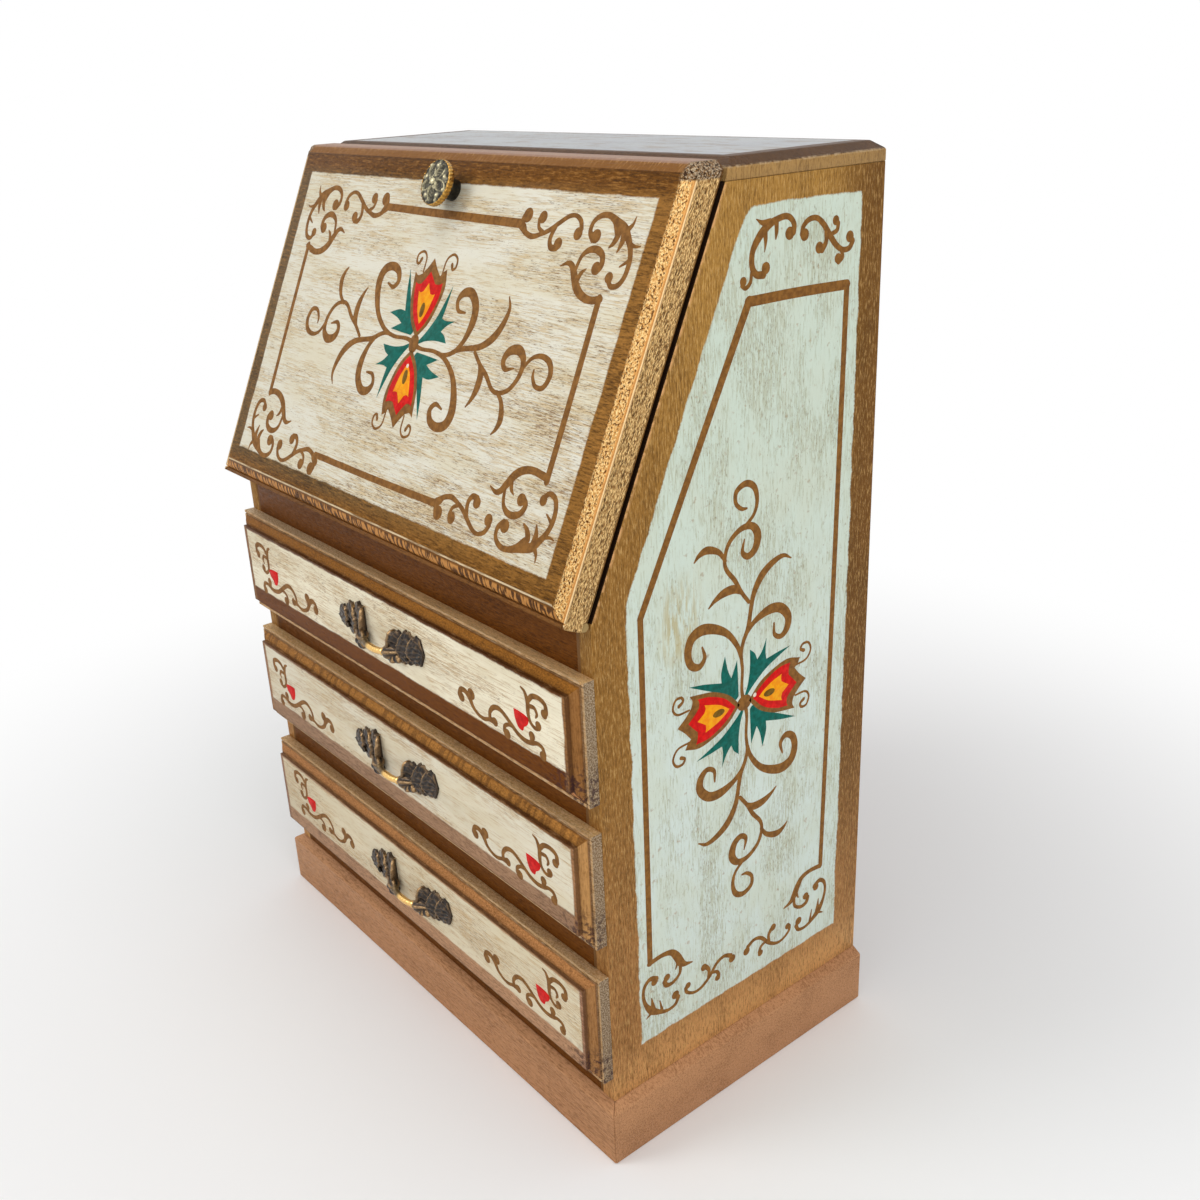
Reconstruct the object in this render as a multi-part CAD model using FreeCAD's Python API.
import FreeCAD, Part
import math
import os

# Musical jewelry box in the form of a slant-front writing desk, in millimetres.
# While it is being built, x = 0 is the middle, y = 0 is the front plane of the case, with +y to the
# back, and z = 0 is the surface that the plinth stands on. The last step moves every piece along y, so
# that the origin is under the middle of the whole box, pulls and winding key included.

Vec = FreeCAD.Vector
AXIS_X = Vec(1, 0, 0)
AXIS_Y = Vec(0, 1, 0)
AXIS_Z = Vec(0, 0, 1)

# Case
case_width = 160.0
case_depth = 88.0
side_thickness = 5.2
back_thickness = 4.0
shelf_thickness = 3.0
rail_depth = 8.0
desk_floor_thickness = 4.0
desk_height = 83.3          # from the knee of the side panels up to the underside of the top board
slant_angle = 25.0          # of the lid and of the front edges of the side panels, from vertical
edge_round = 0.4            # worn edges of the side panels
top_board_thickness = 4.5
top_bevel_rise = 1.8
top_bevel_run = 2.5

# Plinth
plinth_height = 16.6
plinth_projection = 2.6
plinth_bevel_rise = 1.6

# Drawer fronts, from the plinth upwards
bottom_rail_show = 7.1      # rail that shows between the plinth and the lowest front
drawer_front_height = 30.3
lower_rail_show = 9.0
upper_rail_show = 7.2
fascia_show = 12.2          # from the top of the highest front up to the knee
front_lap = 2.0             # each front covers the rails above and below it by this much

# Moulded edge of the drawer fronts
front_edge = 2.9            # thickness at the outer edge
front_land = 1.2
front_slope_run = 2.2
front_slope_rise = 1.5
front_quirk = 0.9
groove_width = 0.5
groove_depth = 0.5

# Drawer boxes
drawer_side_thickness = 3.0
drawer_bottom_thickness = 1.5
drawer_bottom_inset = 1.0   # groove depth, and height of the groove above the drawer's lower edge
drawer_side_clearance = 0.4
drawer_bottom_clearance = 0.2
drawer_top_clearance = 3.0
drawer_back_space = 8.0     # free space behind a closed drawer
lining_thickness = 0.5

# Lid
lid_gap = 1.3               # between the lid and the slanted edges of the side panels
lid_drop = 1.75             # how far the lid reaches below the knee, along the slant
lid_edge = 5.5
lid_land = 1.3
lid_slope_run = 2.4
lid_slope_rise = 1.4
lid_quirk = 0.2
lid_top_below_board = 0.4
lid_top_bevel_rise = 1.9
lid_top_bevel_run = 2.5
lid_corner_rise = 1.8
lid_lining_thickness = 0.7
lid_lining_margin = 7.0

# Continuous hinge of the lid
knuckle_radius = 1.0
hinge_pin_radius = 0.5
hinge_clearance = 0.05
leaf_thickness = 0.5
knuckle_count = 11
knuckle_end_gap = 0.1
hinge_inset = 1.1           # from the hinge axis down to the lower end of the lid
hinge_end_space = 0.5
case_leaf_depth = 7.6
lid_leaf_height = 8.0
knuckle_rebate = 0.15
leaf_notch = 0.2

# Small nails: head radius, head height, shank radius, length under the head
leaf_nail = (1.0, 0.35, 0.45, 4.0)
leaf_nail_count = 4
pull_nail = (0.75, 0.4, 0.45, 3.4)

# Cast pulls
pull_half_length = 21.0
pull_leaf_inner = 7.5
pull_leaf_half_height = 5.7
pull_leaf_thickness = 1.5
pull_bar_radius = 1.2
pull_bar_reach = 2.8
pull_bar_foot = 8.6
pull_bar_shoulder = 5.0
pull_bar_bend = 3.2
pull_bar_droop = 12.0       # degrees that the bar hangs below square to the front
pull_nail_place = 14.5

# Rosette knob
knob_radius = 5.7
knob_stem_radius = 2.6
knob_height = 6.9
knob_rim_height = 4.0
knob_rim_thickness = 1.4
knob_below_top = 12.3       # from the top of the lid down to the knob, along the slant
knob_screw_radius = 1.2
knob_screw_head = 2.3
knob_screw_depth = 3.4

# Tray, ring rolls and mirror in the desk
tray_wall = 1.2
tray_floor = 1.0
tray_height = 14.0
tray_front = 9.5
tray_side_clearance = 0.3
ring_roll_count = 4
ring_roll_pitch = 9.0
ring_roll_base = 4.0
ring_roll_height = 9.5
ring_roll_clearance = 0.3
mirror_thickness = 2.0
mirror_margin = 5.0
mirror_side_margin = 14.0

# Cover of the music movement
cover_width = 58.8
cover_depth = 27.5
cover_height = 44.0
cover_wall = 1.2

# Music movement, fixed to the back panel
key_height = 22.0           # of the winding arbor above the desk floor
bedplate_width = 50.0
bedplate_thickness = 1.4
bedplate_below = 16.0
bedplate_above = 20.0
key_from_bedplate_edge = 15.0
arbor_radius = 1.6
running_clearance = 0.05
arbor_reach = 6.5           # of the arbor out of the back panel
barrel_radius = 11.5
barrel_height = 9.5
barrel_standoff = 0.6
crown_teeth = 26
crown_tooth_height = 1.2
crown_tooth_width = 1.0
crown_ring_width = 1.8
crown_pitch_radius = 10.4
crown_engagement = 0.75
wheel_teeth = 13
wheel_width = 1.5
train_wheel_teeth = 30
train_pinion_teeth = 10
train_module = 0.4
train_width = 1.0
train_backlash = 0.12
pinion_side_angle = -45.0   # direction of the governor pinion from the cylinder, from +y towards +z
cylinder_radius = 6.5
cylinder_length = 17.5
cylinder_shaft_radius = 0.9
cylinder_from_wheel = 2.0
melody_pin_radius = 0.2
melody_pin_height = 0.35
comb_teeth = 18
comb_thickness = 0.9
comb_tooth_length = 6.7
comb_base_length = 5.0
comb_tip_gap = 0.6
comb_slot = 0.3
arm_thickness = 1.8
arm_half_height = 3.0
governor_shaft_radius = 0.6
fly_radius = 3.5
fly_length = 3.2
fly_vane_thickness = 0.6
movement_screw = (1.5, 0.9, 0.8)

# Winding key
key_hub_radius = 2.6
key_hub_length = 6.0
key_wing_radius = 4.5
key_wing_offset = 5.0
key_wing_thickness = 2.0
key_hole_clearance = 0.6

# Stop rod
stop_rod_radius = 0.8
stop_rod_gap = 0.3
stop_rod_wall_space = 3.3
stop_rod_clearance = 0.1
eye_radius = 1.7
eye_length = 1.5
eye_shank_radius = 0.5
eye_shank_depth = 2.2
eye_count = 2
stop_travel = 3.0

# Places worked out from the sizes above
half_width = case_width / 2
inner_half = half_width - side_thickness
inner_back = case_depth - back_thickness
sin_s = math.sin(math.radians(slant_angle))
cos_s = math.cos(math.radians(slant_angle))
tan_s = math.tan(math.radians(slant_angle))
front_bottoms = [plinth_height + bottom_rail_show]
front_bottoms.append(front_bottoms[0] + drawer_front_height + lower_rail_show)
front_bottoms.append(front_bottoms[1] + drawer_front_height + upper_rail_show)
knee_height = front_bottoms[2] + drawer_front_height + fascia_show
top_underside = knee_height + desk_height
case_top = top_underside + top_board_thickness
front_total = front_edge + front_slope_rise + front_quirk
lid_total = lid_edge + lid_slope_rise + lid_quirk
hinge_out = lid_gap - leaf_thickness / 2
hinge_up = hinge_inset - lid_drop
hinge_y = hinge_up * sin_s - hinge_out * cos_s
hinge_z = knee_height + hinge_up * cos_s + hinge_out * sin_s
desk_level = hinge_z - leaf_thickness / 2
lid_top = case_top - lid_top_below_board
bay_front = rail_depth
drawer_depth = inner_back - drawer_back_space
cover_left = inner_half - cover_width
cover_front = inner_back - cover_depth
key_x = inner_half - cover_width / 2 - bedplate_width / 2 + key_from_bedplate_edge
key_z = desk_level + key_height


def box(x0, x1, y0, y1, z0, z1):
    return Part.makeBox(x1 - x0, y1 - y0, z1 - z0, Vec(x0, y0, z0))


def prism(points, sweep):
    wire = Part.makePolygon(points + [points[0]])
    return Part.Face(wire).extrude(sweep)


def prism_x(points, x0, x1):
    return prism([Vec(x0, y, z) for y, z in points], Vec(x1 - x0, 0, 0))


def rod(start, direction, radius, length):
    return Part.makeCylinder(radius, length, start, direction)


def union(shapes):
    return shapes[0].multiFuse(shapes[1:]).removeSplitter()


def slant_point(up, out):
    # y and z of a point that lies up the slant from the knee, and out from the slanted edges
    return up * sin_s - out * cos_s, knee_height + up * cos_s + out * sin_s


def place_on_slant(shape, up, out):
    # turns a shape built upright (z along the slant, -y outwards) and puts its origin on the slant
    y, z = slant_point(up, out)
    turned = shape.copy()
    turned.rotate(Vec(0, 0, 0), AXIS_X, -slant_angle)
    turned.translate(Vec(0, y, z))
    return turned


def nail(size, tip_clearance=0.0):
    # head on the side of +z, shank down from z = 0
    head_radius, head_height, shank_radius, length = size
    shank = rod(Vec(0, 0, -length - tip_clearance), AXIS_Z, shank_radius, length + tip_clearance)
    if tip_clearance:
        return shank
    return union([shank, rod(Vec(0, 0, 0), AXIS_Z, head_radius, head_height)])


def spread(count, reach):
    return [reach * (2 * i / (count - 1) - 1) for i in range(count)]


def moulding_cutter(edge, land, run, rise, quirk, place, sweep):
    # region outside the moulded edge. place turns (inset from the edge, height over the rear face)
    # into a point; the profile is land, V-groove, bulging slope and upright quirk
    over = edge + rise + quirk + 1.0
    bulge = 0.12 * rise
    middle = (land + run / 2 - bulge, edge + rise / 2 + bulge)
    flat = [(-1.0, over), (-1.0, edge), (land - groove_width, edge),
            (land - groove_width / 2, edge - groove_depth), (land, edge)]
    corners = [place(i, n) for i, n in flat]
    edges = [Part.LineSegment(a, b).toShape() for a, b in zip(corners, corners[1:])]
    foot = corners[-1]
    head = place(land + run, edge + rise)
    edges.append(Part.Arc(foot, place(*middle), head).toShape())
    last = place(land + run, over)
    edges.append(Part.LineSegment(head, last).toShape())
    edges.append(Part.LineSegment(last, corners[0]).toShape())
    return Part.Face(Part.Wire(edges)).extrude(sweep)


def moulded_panel(width, height, sizes, with_top=True):
    # rear face on y = 0, lower edge on z = 0, field towards -y
    edge, land, run, rise, quirk = sizes
    half = width / 2
    panel = box(-half, half, -(edge + rise + quirk), 0, 0, height)
    up = Vec(0, 0, height + 2)
    across = Vec(width + 2, 0, 0)
    cutters = [
        moulding_cutter(*sizes, lambda i, n: Vec(half - i, -n, -1), up),
        moulding_cutter(*sizes, lambda i, n: Vec(-half + i, -n, -1), up),
        moulding_cutter(*sizes, lambda i, n: Vec(-half - 1, -n, i), across),
    ]
    if with_top:
        cutters.append(moulding_cutter(*sizes, lambda i, n: Vec(-half - 1, -n, height - i), across))
    for cutter in cutters:
        panel = panel.cut(cutter)
    return panel


# Case

def side_panel(side):
    top_y = desk_height * tan_s
    outline = [(0, plinth_height), (0, knee_height), (top_y, top_underside),
               (case_depth, top_underside), (case_depth, plinth_height)]
    x0, x1 = sorted((side * inner_half, side * half_width))
    panel = prism_x(outline, x0, x1)
    worn = []
    for e in panel.Edges:
        ends = [v.Point for v in e.Vertexes]
        outside = all(abs(abs(p.x) - half_width) < 0.01 for p in ends)
        above = max(p.z for p in ends) > plinth_height + 1
        level_top = min(p.z for p in ends) > top_underside - 0.01
        if outside and above and not level_top:
            worn.append(e)
    panel = panel.makeFillet(edge_round, worn)
    return panel


def back_panel():
    panel = box(-inner_half, inner_half, inner_back, case_depth, 0, top_underside)
    hole = rod(Vec(key_x, inner_back - 1, key_z), AXIS_Y, arbor_radius + key_hole_clearance,
               back_thickness + 2)
    return panel.cut(union([hole] + bedplate_screw_shanks()))


def top_board():
    front_low = desk_height * tan_s
    edge_top = case_top - top_bevel_rise
    front_high = front_low + (edge_top - top_underside) * tan_s
    outline = [(front_low, top_underside), (front_high, edge_top),
               (front_high + top_bevel_run, case_top), (case_depth - top_bevel_run, case_top),
               (case_depth, edge_top), (case_depth, top_underside)]
    board = prism_x(outline, -half_width, half_width)
    for side in (-1, 1):
        corner = [Vec(side * half_width, 0, edge_top), Vec(side * half_width, 0, case_top + 1),
                  Vec(side * (half_width - top_bevel_run), 0, case_top + 1),
                  Vec(side * (half_width - top_bevel_run), 0, case_top)]
        board = board.cut(prism(corner, Vec(0, case_depth + 1, 0)))
    return board


def rail(z0, z1):
    return box(-inner_half, inner_half, 0, rail_depth, z0, z1)


def shelf(z_top):
    return box(-inner_half, inner_half, bay_front, inner_back, z_top - shelf_thickness, z_top)


def opening_bottom(number):
    return front_bottoms[number] + front_lap


def opening_top(number):
    return front_bottoms[number] + drawer_front_height - front_lap


def fascia_rail():
    board = rail(opening_top(2), desk_level)
    return board.cut(union(case_leaf_nails(1.0)))


def desk_floor():
    return box(-inner_half, inner_half, bay_front, inner_back,
               desk_level - desk_floor_thickness, desk_level)


# Plinth

def plinth_strips():
    # strips with a bevelled top edge, mitred at the two front corners
    outer_x = half_width + plinth_projection
    outer_y = -plinth_projection
    depth = side_thickness + plinth_projection
    edge = plinth_height - plinth_bevel_rise
    inner_x = outer_x - depth
    inner_y = outer_y + depth
    profile = [(0, 0), (0, edge), (plinth_projection, plinth_height), (depth, plinth_height), (depth, 0)]
    front = prism([Vec(-outer_x, outer_y + i, z) for i, z in profile], Vec(2 * outer_x, 0, 0))
    plan = [(-outer_x, outer_y), (outer_x, outer_y), (inner_x, inner_y), (-inner_x, inner_y)]
    front = front.common(prism([Vec(x, y, -1) for x, y in plan], Vec(0, 0, plinth_height + 2)))
    length = Vec(0, case_depth - outer_y, 0)
    sides = []
    for s in (-1, 1):
        side = prism([Vec(s * (outer_x - i), outer_y, z) for i, z in profile], length)
        plan = [(s * outer_x, outer_y), (s * outer_x, case_depth), (s * inner_x, case_depth),
                (s * inner_x, inner_y)]
        sides.append(side.common(prism([Vec(x, y, -1) for x, y in plan], Vec(0, 0, plinth_height + 2))))
    return front, sides[0], sides[1]


# Drawers

def drawer_pieces(number):
    z0 = opening_bottom(number) + drawer_bottom_clearance
    z1 = opening_top(number) - drawer_top_clearance
    outer = inner_half - drawer_side_clearance
    inner = outer - drawer_side_thickness
    groove_z = z0 + drawer_bottom_inset
    bottom = box(-inner - drawer_bottom_inset, inner + drawer_bottom_inset,
                 0, drawer_depth - drawer_side_thickness + drawer_bottom_inset,
                 groove_z, groove_z + drawer_bottom_thickness)
    left = box(-outer, -inner, 0, drawer_depth, z0, z1).cut(bottom)
    right = box(inner, outer, 0, drawer_depth, z0, z1).cut(bottom)
    back = box(-inner, inner, drawer_depth - drawer_side_thickness, drawer_depth, z0, z1).cut(bottom)
    floor_z = groove_z + drawer_bottom_thickness
    inner_y = drawer_depth - drawer_side_thickness
    lining = box(-inner, inner, 0, inner_y, floor_z, z1)
    lining = lining.cut(box(-inner + lining_thickness, inner - lining_thickness, lining_thickness,
                            inner_y - lining_thickness, floor_z + lining_thickness, z1 + 1))
    front = moulded_panel(case_width, drawer_front_height,
                          (front_edge, front_land, front_slope_run, front_slope_rise, front_quirk))
    middle = drawer_front_height / 2
    holes = [nail_on_front(x, middle, 0.4) for x in (-pull_nail_place, pull_nail_place)]
    front = front.cut(union(holes))
    pull = cast_pull().cut(union(holes))
    nails = Part.makeCompound([nail_on_front(x, middle) for x in (-pull_nail_place, pull_nail_place)])
    up = Vec(0, 0, front_bottoms[number])
    for piece in (front, pull, nails):
        piece.translate(up)
    return {"front": front, "sides": Part.makeCompound([left, right]), "back": back,
            "bottom": bottom, "lining": lining, "pull": pull, "pull_nails": nails}


def nail_on_front(x, z, tip_clearance=0.0):
    pin = nail(pull_nail, tip_clearance)
    pin.rotate(Vec(0, 0, 0), AXIS_X, 90)
    pin.translate(Vec(x, -front_total - pull_leaf_thickness, z))
    return pin


def leaf_plate(side):
    # lobed leaf in x and z; each lobe is one arc from valley to valley over its tip, the nose is pointed
    reach = pull_half_length
    high = pull_leaf_half_height
    inner = pull_leaf_inner
    span = reach - inner
    valleys = [(inner, 0.28 * high), (inner + 0.34 * span, 0.64 * high),
               (inner + 0.68 * span, 0.6 * high), (inner + 0.8 * span, 0.2 * high)]
    tips = [(inner + 0.11 * span, 0.81 * high), (inner + 0.51 * span, high),
            (inner + 0.81 * span, 0.52 * high)]
    shoulder = (inner + 0.93 * span, 0.14 * high)
    nose = (reach, 0)

    def at(point, flip=1):
        return Vec(side * point[0], 0, flip * point[1])

    edges = []
    for flip in (1, -1):
        for start, tip, end in zip(valleys, tips, valleys[1:]):
            edges.append(Part.Arc(at(start, flip), at(tip, flip), at(end, flip)).toShape())
        edges.append(Part.Arc(at(valleys[-1], flip), at(shoulder, flip), at(nose)).toShape())
    edges.append(Part.LineSegment(at(valleys[0]), at(valleys[0], -1)).toShape())
    outline = Part.Wire(Part.__sortEdges__(edges))
    return Part.Face(outline).extrude(Vec(0, -pull_leaf_thickness, 0))


def cast_pull():
    # bar: a round section swept along foot, shoulder, shoulder, foot, with rounded shoulders
    foot = Vec(-pull_bar_foot, -pull_leaf_thickness / 2, 0)
    shoulder = Vec(-pull_bar_shoulder, -pull_bar_reach, 0)
    leg = (shoulder - foot).normalize()
    turn = math.atan2(-leg.y, leg.x)
    setback = pull_bar_bend * math.tan(turn / 2)
    bend_start = shoulder - leg * setback
    bend_end = shoulder + AXIS_X * setback
    centre = bend_end + AXIS_Y * pull_bar_bend
    middle = centre + (shoulder - centre).normalize() * pull_bar_bend

    def mirror(p):
        return Vec(-p.x, p.y, p.z)

    path = [Part.LineSegment(foot, bend_start), Part.Arc(bend_start, middle, bend_end),
            Part.LineSegment(bend_end, mirror(bend_end)),
            Part.Arc(mirror(bend_end), mirror(middle), mirror(bend_start)),
            Part.LineSegment(mirror(bend_start), mirror(foot))]
    spine = Part.Wire([segment.toShape() for segment in path])
    section = Part.Wire([Part.Circle(foot, leg, pull_bar_radius).toShape()])
    bar = spine.makePipeShell([section], True, False)
    bar.rotate(Vec(0, 0, 0), AXIS_X, pull_bar_droop)
    bar = bar.cut(box(-pull_half_length, pull_half_length, 0, 10, -10, 10))
    pull = union([bar, leaf_plate(-1), leaf_plate(1)])
    pull.translate(Vec(0, -front_total, drawer_front_height / 2))
    return pull


# Lid, built upright with its rear face on y = 0 and its lower end on z = 0

def lid_length():
    return (lid_top - slant_point(0, lid_gap)[1]) / cos_s + lid_drop


def field_top():
    # y and z of the upper edge of the field, where the top bevel starts
    z = lid_top - lid_top_bevel_rise
    up = (z - knee_height - (lid_gap + lid_total) * sin_s) / cos_s
    return slant_point(up, lid_gap + lid_total)


def lid_panel():
    sizes = (lid_edge, lid_land, lid_slope_run, lid_slope_rise, lid_quirk)
    panel = moulded_panel(case_width, lid_length() + lid_total, sizes, with_top=False)
    rebate = rod(Vec(-half_width - 1, leaf_thickness / 2, hinge_inset), AXIS_X,
                 knuckle_radius + knuckle_rebate, case_width + 2)
    panel = panel.cut(rebate)
    panel = place_on_slant(panel, -lid_drop, lid_gap)
    y_top, z_top = field_top()
    above = box(-half_width - 1, half_width + 1, -20, case_depth, lid_top, lid_top + 20)
    slope = lid_top_bevel_rise / lid_top_bevel_run
    bevel = prism_x([(y_top, z_top), (y_top + 2 * lid_top_bevel_run, z_top + 2 * slope * lid_top_bevel_run),
                     (y_top - 5, z_top + 2 * slope * lid_top_bevel_run), (y_top - 5, z_top)],
                    -half_width - 1, half_width + 1)
    panel = panel.cut(above).cut(bevel)
    for side in (-1, 1):
        corner = [Vec(side * half_width, -20, lid_top - lid_corner_rise),
                  Vec(side * (half_width + 1), -20, lid_top - lid_corner_rise),
                  Vec(side * (half_width + 1), -20, lid_top + 1),
                  Vec(side * (half_width - top_bevel_run), -20, lid_top)]
        panel = panel.cut(prism(corner, Vec(0, case_depth, 0)))
    panel = panel.cut(knob_screw(0.0, knob_screw_depth + lid_total))
    return panel.cut(union(lid_leaf_nails(1.0)))


def knob_up():
    return lid_length() - lid_drop - knob_below_top


def lid_knob():
    # turned body with a cove under the rim and a shallow dome, its back on y = 0 before it is placed
    z_rim = knob_rim_height
    points = [Vec(0, 0, 0), Vec(0, 0, knob_height)]
    dome = Part.Arc(points[1], Vec(knob_radius * 0.62, 0, knob_height - 0.45),
                    Vec(knob_radius, 0, z_rim + knob_rim_thickness)).toShape()
    rim = Part.LineSegment(Vec(knob_radius, 0, z_rim + knob_rim_thickness),
                           Vec(knob_radius, 0, z_rim)).toShape()
    cove = Part.Arc(Vec(knob_radius, 0, z_rim), Vec(knob_stem_radius + 1.0, 0, z_rim * 0.62),
                    Vec(knob_stem_radius, 0, 0)).toShape()
    base = Part.LineSegment(Vec(knob_stem_radius, 0, 0), points[0]).toShape()
    axis = Part.LineSegment(points[0], points[1]).toShape()
    knob = Part.Face(Part.Wire([axis, dome, rim, cove, base])).revolve(Vec(0, 0, 0), AXIS_Z, 360)
    knob = Part.Solid(knob) if knob.ShapeType != "Solid" else knob
    knob.rotate(Vec(0, 0, 0), AXIS_X, 90)
    knob = place_on_slant(knob, knob_up(), lid_gap + lid_total)
    return knob.cut(knob_screw(0.0, knob_screw_depth + lid_total))


def knob_screw(clearance, length):
    # countersunk head flush with the rear face of the lid, shank outwards
    head = Part.makeCone(knob_screw_head + clearance, knob_screw_radius + clearance,
                         knob_screw_head - knob_screw_radius, Vec(0, 0, 0), AXIS_Z)
    shank = rod(Vec(0, 0, 0), AXIS_Z, knob_screw_radius + clearance, length)
    screw = union([head, shank])
    screw.rotate(Vec(0, 0, 0), AXIS_X, 90)
    return place_on_slant(screw, knob_up(), lid_gap)


def lid_lining():
    half = inner_half - lid_lining_margin / 2
    low = lid_leaf_height + lid_lining_margin / 2
    high = lid_length() - lid_lining_margin
    sheet = box(-half, half, 0, lid_lining_thickness, low, high)
    return place_on_slant(sheet, -lid_drop, lid_gap)


# Hinge, along x at the knee

def knuckle_spans():
    half = half_width - hinge_end_space
    pitch = 2 * half / knuckle_count
    return [(-half + i * pitch, -half + (i + 1) * pitch) for i in range(knuckle_count)]


def hinge_leaf(plate, tab, first, bore):
    # plate that stops short of the knuckles, joined to every second knuckle by a tab
    parts = [plate]
    for x0, x1 in knuckle_spans()[first::2]:
        x0 += knuckle_end_gap / 2
        x1 -= knuckle_end_gap / 2
        parts.append(rod(Vec(x0, hinge_y, hinge_z), AXIS_X, knuckle_radius, x1 - x0))
        parts.append(tab(x0, x1))
    pin_hole = rod(Vec(-half_width, hinge_y, hinge_z), AXIS_X, bore, case_width)
    return union(parts).cut(pin_hole)


def hinge_case_leaf():
    near = hinge_y + knuckle_radius + leaf_notch
    reach = inner_half - hinge_end_space
    z0 = desk_level
    z1 = desk_level + leaf_thickness
    plate = box(-reach, reach, near, case_leaf_depth, z0, z1)

    def tab(x0, x1):
        return box(max(x0, -reach), min(x1, reach), hinge_y, near + 0.5, z0, z1)

    leaf = hinge_leaf(plate, tab, 0, hinge_pin_radius)
    return leaf.cut(union(case_leaf_nails(1.0)))


def hinge_lid_leaf():
    reach = half_width - hinge_end_space
    near = hinge_inset + knuckle_radius + leaf_notch
    plate = box(-reach, reach, 0, leaf_thickness, near, near + lid_leaf_height)

    def slanted(shape):
        return place_on_slant(shape, -lid_drop, lid_gap)

    def tab(x0, x1):
        return slanted(box(x0, x1, 0, leaf_thickness, hinge_inset, near + 0.5))

    leaf = hinge_leaf(slanted(plate), tab, 1, hinge_pin_radius + hinge_clearance)
    return leaf.cut(union(lid_leaf_nails(1.0)))


def hinge_pin():
    half = half_width - hinge_end_space
    return rod(Vec(-half, hinge_y, hinge_z), AXIS_X, hinge_pin_radius, 2 * half)


def case_leaf_nails(tip_clearance=0.0):
    nails = []
    for x in spread(leaf_nail_count, inner_half * 0.85):
        pin = nail(leaf_nail, tip_clearance)
        pin.translate(Vec(x, case_leaf_depth * 0.6, desk_level + leaf_thickness))
        nails.append(pin)
    return nails


def lid_leaf_nails(tip_clearance=0.0):
    nails = []
    for x in spread(leaf_nail_count, inner_half * 0.75):
        pin = nail(leaf_nail, tip_clearance)
        pin.rotate(Vec(0, 0, 0), AXIS_X, -90)
        pin.translate(Vec(x, leaf_thickness, hinge_inset + knuckle_radius + lid_leaf_height * 0.6))
        nails.append(place_on_slant(pin, -lid_drop, lid_gap))
    return nails


# Tray, ring rolls, mirror

def tray_side():
    return inner_half - tray_side_clearance


def desk_tray():
    # L-shaped tray beside and in front of the movement cover, with two wells
    side = tray_side()
    rear = inner_back - tray_side_clearance
    z0 = desk_level
    z1 = desk_level + tray_height
    split = cover_left - tray_side_clearance
    notch = cover_front - tray_side_clearance
    body = union([box(-side, split, tray_front, rear, z0, z1),
                  box(split - 1, side, tray_front, notch, z0, z1)])
    floor = z0 + tray_floor
    wells = [box(-side + tray_wall, split - tray_wall, tray_front + tray_wall, rear - tray_wall, floor, z1 + 1),
             box(split, side - tray_wall, tray_front + tray_wall, notch - tray_wall, floor, z1 + 1)]
    return body.cut(wells[0]).cut(wells[1])


def ring_rolls():
    x0 = -tray_side() + tray_wall + ring_roll_clearance
    x1 = cover_left - tray_side_clearance - tray_wall - ring_roll_clearance
    y1 = inner_back - tray_side_clearance - tray_wall - ring_roll_clearance
    y0 = y1 - ring_roll_count * ring_roll_pitch
    z0 = desk_level + tray_floor
    low = z0 + ring_roll_base
    edges = [Part.LineSegment(Vec(x0, y0, low), Vec(x0, y0, z0)).toShape(),
             Part.LineSegment(Vec(x0, y0, z0), Vec(x0, y1, z0)).toShape(),
             Part.LineSegment(Vec(x0, y1, z0), Vec(x0, y1, low)).toShape()]
    for i in range(ring_roll_count):
        a = y0 + i * ring_roll_pitch
        crown = Vec(x0, a + ring_roll_pitch / 2, z0 + ring_roll_height - 1.2)
        edges.append(Part.Arc(Vec(x0, a, low), crown, Vec(x0, a + ring_roll_pitch, low)).toShape())
    outline = Part.Wire(Part.__sortEdges__(edges))
    return Part.Face(outline).extrude(Vec(x1 - x0, 0, 0))


def mirror():
    half = inner_half - mirror_side_margin
    z0 = desk_level + cover_height + mirror_margin
    return box(-half, half, inner_back - mirror_thickness, inner_back, z0, top_underside - mirror_margin)


# Music movement

crown_face = inner_back - bedplate_thickness - barrel_standoff - barrel_height
crown_tip = crown_face - crown_tooth_height
tooth_module = 2 * crown_pitch_radius / crown_teeth
wheel_pitch_radius = tooth_module * wheel_teeth / 2
wheel_tip = wheel_pitch_radius + 0.6 * tooth_module
wheel_x = key_x + crown_pitch_radius
axle_y = crown_tip + crown_engagement - wheel_tip
drum_x = wheel_x + wheel_width / 2 + cylinder_from_wheel
train_x = drum_x + cylinder_length + 0.3
frame_x = train_x + train_width + 0.3
pinion_distance = train_module * (train_wheel_teeth + train_pinion_teeth) / 2 + train_backlash
pinion_turn = math.radians(pinion_side_angle)
pinion_y = axle_y + pinion_distance * math.cos(pinion_turn)
pinion_z = key_z + pinion_distance * math.sin(pinion_turn)
fly_x = frame_x + arm_thickness + 0.4
comb_front = axle_y - comb_thickness / 2
comb_tip_z = key_z + cylinder_radius + comb_tip_gap
comb_base_z = comb_tip_z + comb_tooth_length


def toothed_wheel(teeth, module, width, first_angle):
    # straight-sided teeth around x; first_angle is a tooth's direction, from +y towards +z
    pitch_radius = module * teeth / 2
    tip = pitch_radius + 0.6 * module
    root = pitch_radius - 0.85 * module
    step = 2 * math.pi / teeth
    points = []
    for i in range(teeth):
        middle = math.radians(first_angle) + i * step
        for radius, share in ((root, -0.27), (tip, -0.12), (tip, 0.12), (root, 0.27)):
            angle = middle + share * step
            points.append(Vec(0, radius * math.cos(angle), radius * math.sin(angle)))
    return prism(points, Vec(width, 0, 0))


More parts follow.
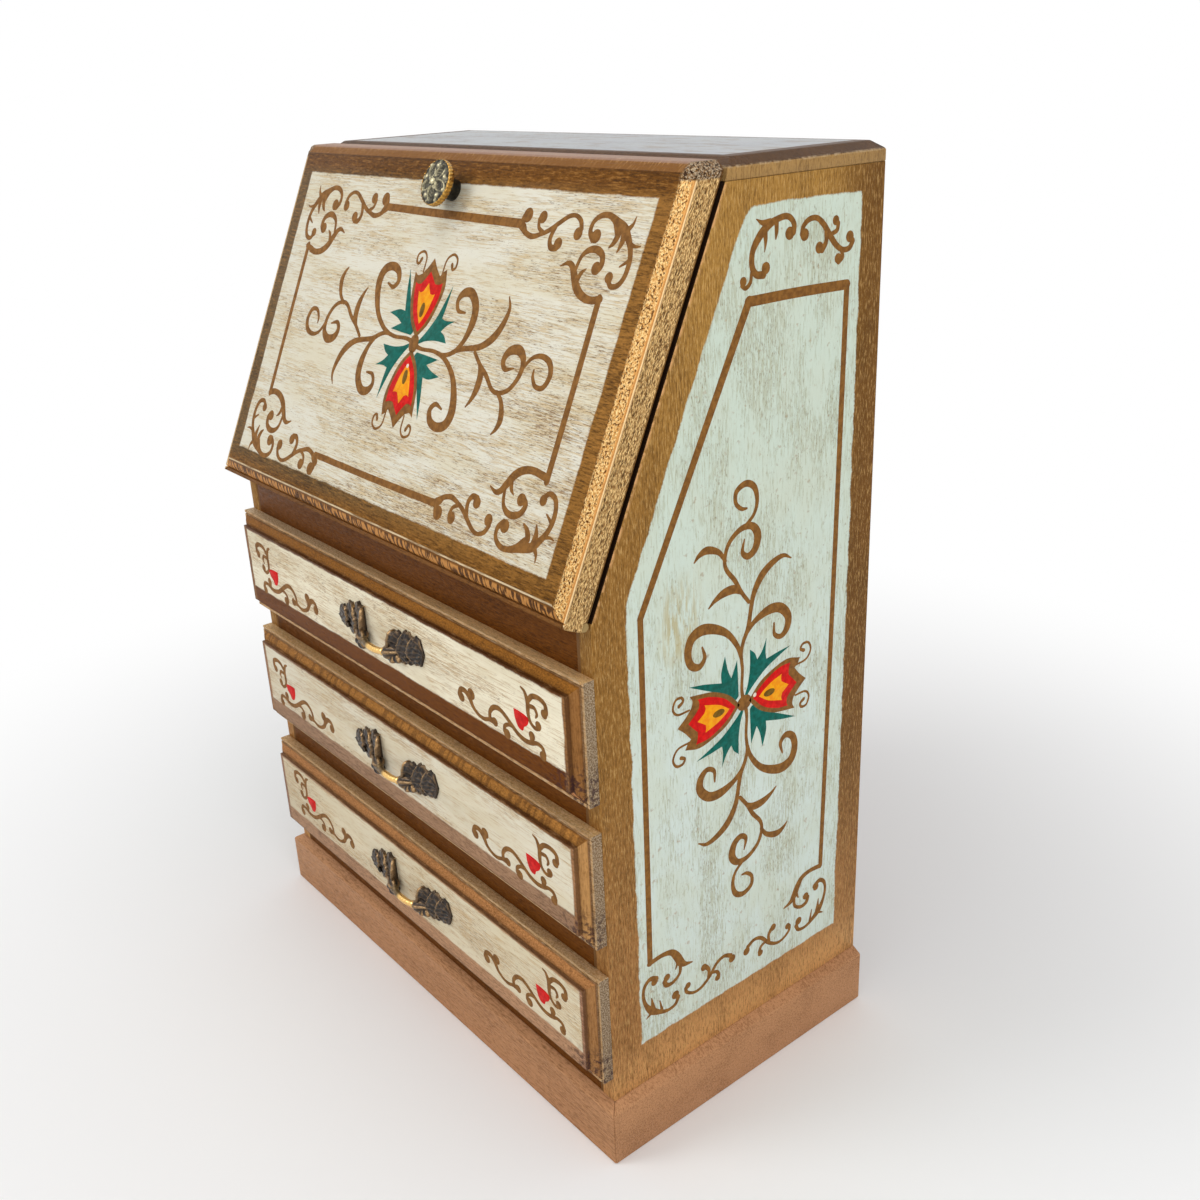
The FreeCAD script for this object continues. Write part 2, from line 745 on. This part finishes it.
def movement_bedplate():
    # plate on the back panel, pedestal for the comb, and an arm in front of the barrel
    x0 = key_x - key_from_bedplate_edge
    face = inner_back - bedplate_thickness
    plate = box(x0, x0 + bedplate_width, face, inner_back, key_z - bedplate_below, key_z + bedplate_above)
    pedestal = box(drum_x, drum_x + cylinder_length, comb_front + comb_thickness, face,
                   comb_base_z, comb_base_z + comb_base_length)
    arm_x = wheel_x - wheel_width / 2 - 0.45 - arm_thickness
    arm_front = axle_y - arm_half_height
    above = key_z + barrel_radius + 0.8
    bridge = box(arm_x, arm_x + arm_thickness, arm_front, face, above, above + arm_half_height)
    drop = box(arm_x, arm_x + arm_thickness, arm_front, crown_tip - 1.1,
               key_z - arm_half_height, above + arm_half_height)
    plate = union([plate, pedestal, bridge, drop])
    plate = plate.cut(rod(Vec(key_x, face - 1, key_z), AXIS_Y, arbor_radius + running_clearance,
                          bedplate_thickness + 2))
    plate = plate.cut(rod(Vec(arm_x - 1, axle_y, key_z), AXIS_X,
                          cylinder_shaft_radius + running_clearance, arm_thickness + 2))
    return plate.cut(union(bedplate_screw_shanks() + comb_screw_shanks() + frame_screw_shanks()))


def spring_barrel():
    y1 = inner_back - bedplate_thickness - barrel_standoff
    drum = rod(Vec(key_x, crown_face, key_z), AXIS_Y, barrel_radius, y1 - crown_face)
    tooth = box(key_x + crown_pitch_radius - crown_ring_width / 2,
                key_x + crown_pitch_radius + crown_ring_width / 2, crown_tip, crown_face + 0.2,
                key_z - crown_tooth_width / 2, key_z + crown_tooth_width / 2)
    teeth = []
    for i in range(crown_teeth):
        copy = tooth.copy()
        copy.rotate(Vec(key_x, 0, key_z), AXIS_Y, 360 * i / crown_teeth)
        teeth.append(copy)
    bore = rod(Vec(key_x, crown_tip - 1, key_z), AXIS_Y, arbor_radius + running_clearance, barrel_height + 4)
    return union([drum] + teeth).cut(bore)


def cylinder():
    # drum with rings of melody pins, crown wheel at one end and train wheel at the other
    gap_step = 180 / wheel_teeth
    crown_wheel = toothed_wheel(wheel_teeth, tooth_module, wheel_width, gap_step)
    crown_wheel.translate(Vec(wheel_x - wheel_width / 2, axle_y, key_z))
    train_wheel = toothed_wheel(train_wheel_teeth, train_module, train_width, pinion_side_angle)
    train_wheel.translate(Vec(train_x, axle_y, key_z))
    drum = rod(Vec(drum_x, axle_y, key_z), AXIS_X, cylinder_radius, cylinder_length)
    shaft_end = wheel_x - wheel_width / 2 - 0.45 - arm_thickness - 0.2
    shaft = rod(Vec(shaft_end, axle_y, key_z), AXIS_X, cylinder_shaft_radius,
                frame_x + arm_thickness - shaft_end)
    pins = []
    pitch = cylinder_length / comb_teeth
    for i in range(comb_teeth):
        for turn in range(2):
            angle = math.radians(20 + 77 * i + 143 * turn)
            out = Vec(0, math.cos(angle), math.sin(angle))
            start = Vec(drum_x + (i + 0.5) * pitch, axle_y, key_z) + out * (cylinder_radius - 0.5)
            pins.append(rod(start, out, melody_pin_radius, 0.5 + melody_pin_height))
    return union([drum, crown_wheel, train_wheel, shaft] + pins)


def comb():
    width = cylinder_length
    plate = box(drum_x, drum_x + width, comb_front, comb_front + comb_thickness,
                comb_tip_z, comb_base_z + comb_base_length)
    pitch = width / comb_teeth
    slots = []
    for i in range(1, comb_teeth):
        x = drum_x + i * pitch
        slots.append(box(x - comb_slot / 2, x + comb_slot / 2, comb_front - 1,
                         comb_front + comb_thickness + 1, comb_tip_z - 1, comb_base_z))
    plate = plate.cut(Part.makeCompound(slots))
    return plate.cut(union(comb_screw_shanks()))


def screw_along_y(x, y_head, z, direction, length):
    # direction is +1 for a shank towards +y and -1 for a shank towards -y
    head_radius, head_height, shank_radius = movement_screw
    way = Vec(0, direction, 0)
    head = rod(Vec(x, y_head, z), way * -1, head_radius, head_height)
    return union([head, rod(Vec(x, y_head, z), way, shank_radius, length)])


def shank_only(x, y_head, z, direction, length):
    way = Vec(0, direction, 0)
    return rod(Vec(x, y_head, z) - way * 0.5, way, movement_screw[2], length + 0.5)


def bedplate_screw_places():
    x0 = key_x - key_from_bedplate_edge
    inset = 3.0
    return [(x0 + inset, key_z - bedplate_below + inset), (x0 + inset, key_z + bedplate_above - inset),
            (x0 + bedplate_width - inset, key_z - bedplate_below + inset)]


def comb_screw_places():
    return [(drum_x + cylinder_length * share, comb_base_z + comb_base_length / 2) for share in (0.25, 0.75)]


def frame_foot_z():
    return pinion_z - 6.0


def bedplate_screw_shanks():
    return [shank_only(x, case_depth, z, -1, back_thickness + bedplate_thickness)
            for x, z in bedplate_screw_places()]


def comb_screw_shanks():
    return [shank_only(x, comb_front, z, 1, 5.0) for x, z in comb_screw_places()]


def frame_screw_shanks():
    face = inner_back - bedplate_thickness
    return [shank_only(frame_x - 3.0, face - 1.2, frame_foot_z() + 2.5, 1, 1.2 + bedplate_thickness)]


def movement_screws():
    face = inner_back - bedplate_thickness
    screws = [screw_along_y(x, case_depth, z, -1, back_thickness + bedplate_thickness)
              for x, z in bedplate_screw_places()]
    screws += [screw_along_y(x, comb_front, z, 1, 5.0) for x, z in comb_screw_places()]
    screws.append(screw_along_y(frame_x - 3.0, face - 1.2, frame_foot_z() + 2.5, 1, 1.2 + bedplate_thickness))
    return Part.makeCompound(screws)


def governor_frame():
    # upright plate with the cylinder's and the fly's bearings, and a foot on the bedplate
    face = inner_back - bedplate_thickness
    front = axle_y - arm_half_height
    low = frame_foot_z()
    plate = box(frame_x, frame_x + arm_thickness, front, face, low, key_z + arm_half_height)
    foot = box(frame_x - 5.5, frame_x, face - 1.2, face, low, low + 5.0)
    frame = union([plate, foot])
    frame = frame.cut(rod(Vec(frame_x - 1, axle_y, key_z), AXIS_X,
                          cylinder_shaft_radius + running_clearance, arm_thickness + 2))
    frame = frame.cut(rod(Vec(frame_x - 1, pinion_y, pinion_z), AXIS_X,
                          governor_shaft_radius + running_clearance, arm_thickness + 2))
    return frame.cut(union(frame_screw_shanks()))


def governor_fly():
    # pinion with a gap that faces the cylinder, shaft, and two vanes outside the frame
    gap_turn = pinion_side_angle + 180 + 180 / train_pinion_teeth
    pinion = toothed_wheel(train_pinion_teeth, train_module, train_width, gap_turn)
    pinion.translate(Vec(train_x, pinion_y, pinion_z))
    shaft = rod(Vec(train_x, pinion_y, pinion_z), AXIS_X, governor_shaft_radius, fly_x + fly_length - train_x)
    vane = box(fly_x, fly_x + fly_length, pinion_y - fly_radius, pinion_y + fly_radius,
               pinion_z - fly_vane_thickness / 2, pinion_z + fly_vane_thickness / 2)
    return union([pinion, shaft, vane])


def movement_cover():
    # five-sided case, open to the back panel and to the desk floor
    z1 = desk_level + cover_height
    shell = box(cover_left, inner_half, cover_front, inner_back, desk_level, z1)
    inside = box(cover_left + cover_wall, inner_half - cover_wall, cover_front + cover_wall,
                 inner_back + 1, desk_level - 1, z1 - cover_wall)
    hole = rod(Vec(stop_rod_x(), cover_front - 1, pinion_z), AXIS_Y,
               stop_rod_radius + stop_rod_clearance, cover_wall + 2)
    return shell.cut(inside).cut(hole)


# Winding key and its arbor

def winding_arbor():
    return rod(Vec(key_x, crown_face, key_z), AXIS_Y, arbor_radius, case_depth + arbor_reach - crown_face)


def winding_key():
    y0 = case_depth + arbor_reach - key_hub_length / 2
    hub = rod(Vec(key_x, y0, key_z), AXIS_Y, key_hub_radius, key_hub_length)
    wing_y = y0 + key_hub_length + key_wing_radius * 0.55
    wings = []
    for side in (-1, 1):
        centre = Vec(key_x + side * key_wing_offset, wing_y, key_z - key_wing_thickness / 2)
        wings.append(rod(centre, AXIS_Z, key_wing_radius, key_wing_thickness))
    web = box(key_x - key_wing_offset, key_x + key_wing_offset, y0 + key_hub_length * 0.5,
              wing_y + key_wing_radius * 0.5, key_z - key_wing_thickness / 2, key_z + key_wing_thickness / 2)
    return union([hub, web] + wings).cut(winding_arbor())


def key_end():
    return case_depth + arbor_reach + key_hub_length / 2 + key_wing_radius * 1.55


# Stop rod, from the lid back to the fly

def stop_rod_x():
    return inner_half - stop_rod_wall_space


def stop_rod_front():
    # where the closed lid's lining is, at the height of the rod's top
    out = lid_gap - lid_lining_thickness - stop_rod_gap
    z = pinion_z + stop_rod_radius
    up = (z - knee_height - out * sin_s) / cos_s
    return slant_point(up, out)[0]


def stop_rod():
    start = stop_rod_front()
    end = pinion_y - fly_radius - stop_rod_gap
    return rod(Vec(stop_rod_x(), start, pinion_z), AXIS_Y, stop_rod_radius, end - start)


def stop_rod_eyes(side_hole=False):
    x = stop_rod_x()
    eyes = []
    reach = cover_front - tray_front
    for i in range(eye_count):
        y = tray_front + reach * (i + 1) / (eye_count + 1)
        ring = rod(Vec(x, y - eye_length / 2, pinion_z), AXIS_Y, eye_radius, eye_length)
        shank = rod(Vec(x, y, pinion_z), AXIS_X, eye_shank_radius, inner_half + eye_shank_depth - x)
        if side_hole:
            eyes.append(rod(Vec(inner_half - 1, y, pinion_z), AXIS_X, eye_shank_radius, 1 + eye_shank_depth))
            continue
        bore = rod(Vec(x, y - eye_length, pinion_z), AXIS_Y, stop_rod_radius + stop_rod_clearance,
                   2 * eye_length)
        eyes.append(union([ring, shank]).cut(bore))
    return Part.makeCompound(eyes)


def all_pieces():
    plinth_front, plinth_left, plinth_right = plinth_strips()
    pieces = {
        "side_panel_left": side_panel(-1),
        "side_panel_right": side_panel(1).cut(stop_rod_eyes(side_hole=True)),
        "back_panel": back_panel(),
        "top_board": top_board(),
        "fascia_rail": fascia_rail(),
        "upper_rail": rail(opening_top(1), opening_bottom(2)),
        "middle_rail": rail(opening_top(0), opening_bottom(1)),
        "bottom_rail": rail(plinth_height, opening_bottom(0)),
        "upper_shelf": shelf(opening_bottom(2)),
        "middle_shelf": shelf(opening_bottom(1)),
        "bottom_board": shelf(opening_bottom(0)),
        "desk_floor": desk_floor(),
        "plinth_front": plinth_front,
        "plinth_left": plinth_left,
        "plinth_right": plinth_right,
        "lid_panel": lid_panel(),
        "lid_lining": lid_lining(),
        "lid_knob": lid_knob(),
        "lid_knob_screw": knob_screw(0.0, knob_screw_depth + lid_total),
        "hinge_case_leaf": hinge_case_leaf(),
        "hinge_lid_leaf": hinge_lid_leaf(),
        "hinge_pin": hinge_pin(),
        "hinge_case_nails": Part.makeCompound(case_leaf_nails()),
        "hinge_lid_nails": Part.makeCompound(lid_leaf_nails()),
        "desk_tray": desk_tray(),
        "ring_rolls": ring_rolls(),
        "mirror": mirror(),
        "movement_cover": movement_cover(),
        "movement_bedplate": movement_bedplate(),
        "movement_comb": comb(),
        "movement_screws": movement_screws(),
        "governor_frame": governor_frame(),
        "governor_fly": governor_fly(),
        "spring_barrel": spring_barrel(),
        "music_cylinder": cylinder(),
        "winding_arbor": winding_arbor(),
        "winding_key": winding_key(),
        "stop_rod": stop_rod(),
        "stop_rod_eyes": stop_rod_eyes(),
    }
    for number in range(3):
        for name, shape in drawer_pieces(2 - number).items():
            pieces["drawer_%d_%s" % (number + 1, name)] = shape
    return pieces


def main():
    os.makedirs("parts", exist_ok=True)
    bar_front = pull_bar_reach * math.cos(math.radians(pull_bar_droop)) + pull_bar_radius
    front_end = -front_total - bar_front
    to_origin = Vec(0, -(front_end + key_end()) / 2, 0)
    for node, shape in all_pieces().items():
        if shape.ShapeType == "Compound" and len(shape.Solids) == 1:
            shape = shape.Solids[0]
        shape.translate(to_origin)
        solids = len(shape.Solids)
        print("%-22s solids %d valid %s volume %.1f" % (node, solids, shape.isValid(), shape.Volume))
        shape.exportStep("parts/" + node + ".step")
    shift = to_origin.y
    print("case front plane at y = %.4f" % shift)
    print("hinge axis y %.4f z %.4f" % (hinge_y + shift, hinge_z))
    print("key axis x %.4f z %.4f, barrel side y %.3f" % (key_x, key_z, crown_face + shift))
    print("cylinder axis y %.4f z %.4f" % (axle_y + shift, key_z))
    print("governor axis y %.4f z %.4f" % (pinion_y + shift, pinion_z))
    print("desk level %.4f, knee %.4f, top %.4f" % (desk_level, knee_height, case_top))


main()
